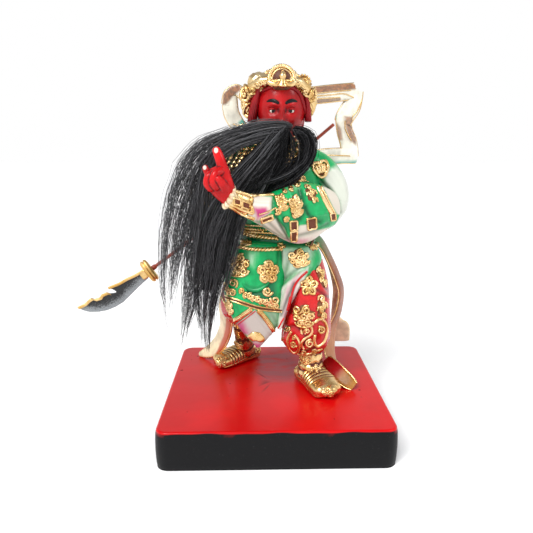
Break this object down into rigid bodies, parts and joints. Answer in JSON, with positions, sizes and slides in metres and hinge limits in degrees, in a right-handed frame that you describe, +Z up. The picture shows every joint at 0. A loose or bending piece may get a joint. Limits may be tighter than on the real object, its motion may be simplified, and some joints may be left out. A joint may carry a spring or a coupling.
{
  "type": "guan yu statue",
  "caption": "Painted warrior deity in robes and crown striding on a square plinth, with a long loose hair beard, a raised hand and a polearm held behind the back.",
  "frame": {"origin": "centre of the plinth's flat underside", "axes": "+Z up, the figure faces -Y, its raised hand and the polearm's blade are towards -X"},
  "size_m": [0.1339, 0.091, 0.1528],
  "materials": {
    "plinth": "gloss lacquer",
    "figure": "painted and gilded cast resin",
    "beard": "loose hair",
    "shaft": "satin",
    "blade": "painted, black and silver with a gold back"
  },
  "bodies": {
    "root": {"plinth": "plinth", "figure": "figure", "beard": "beard", "shaft": "shaft", "blade": "blade"}
  },
  "joints": []
}
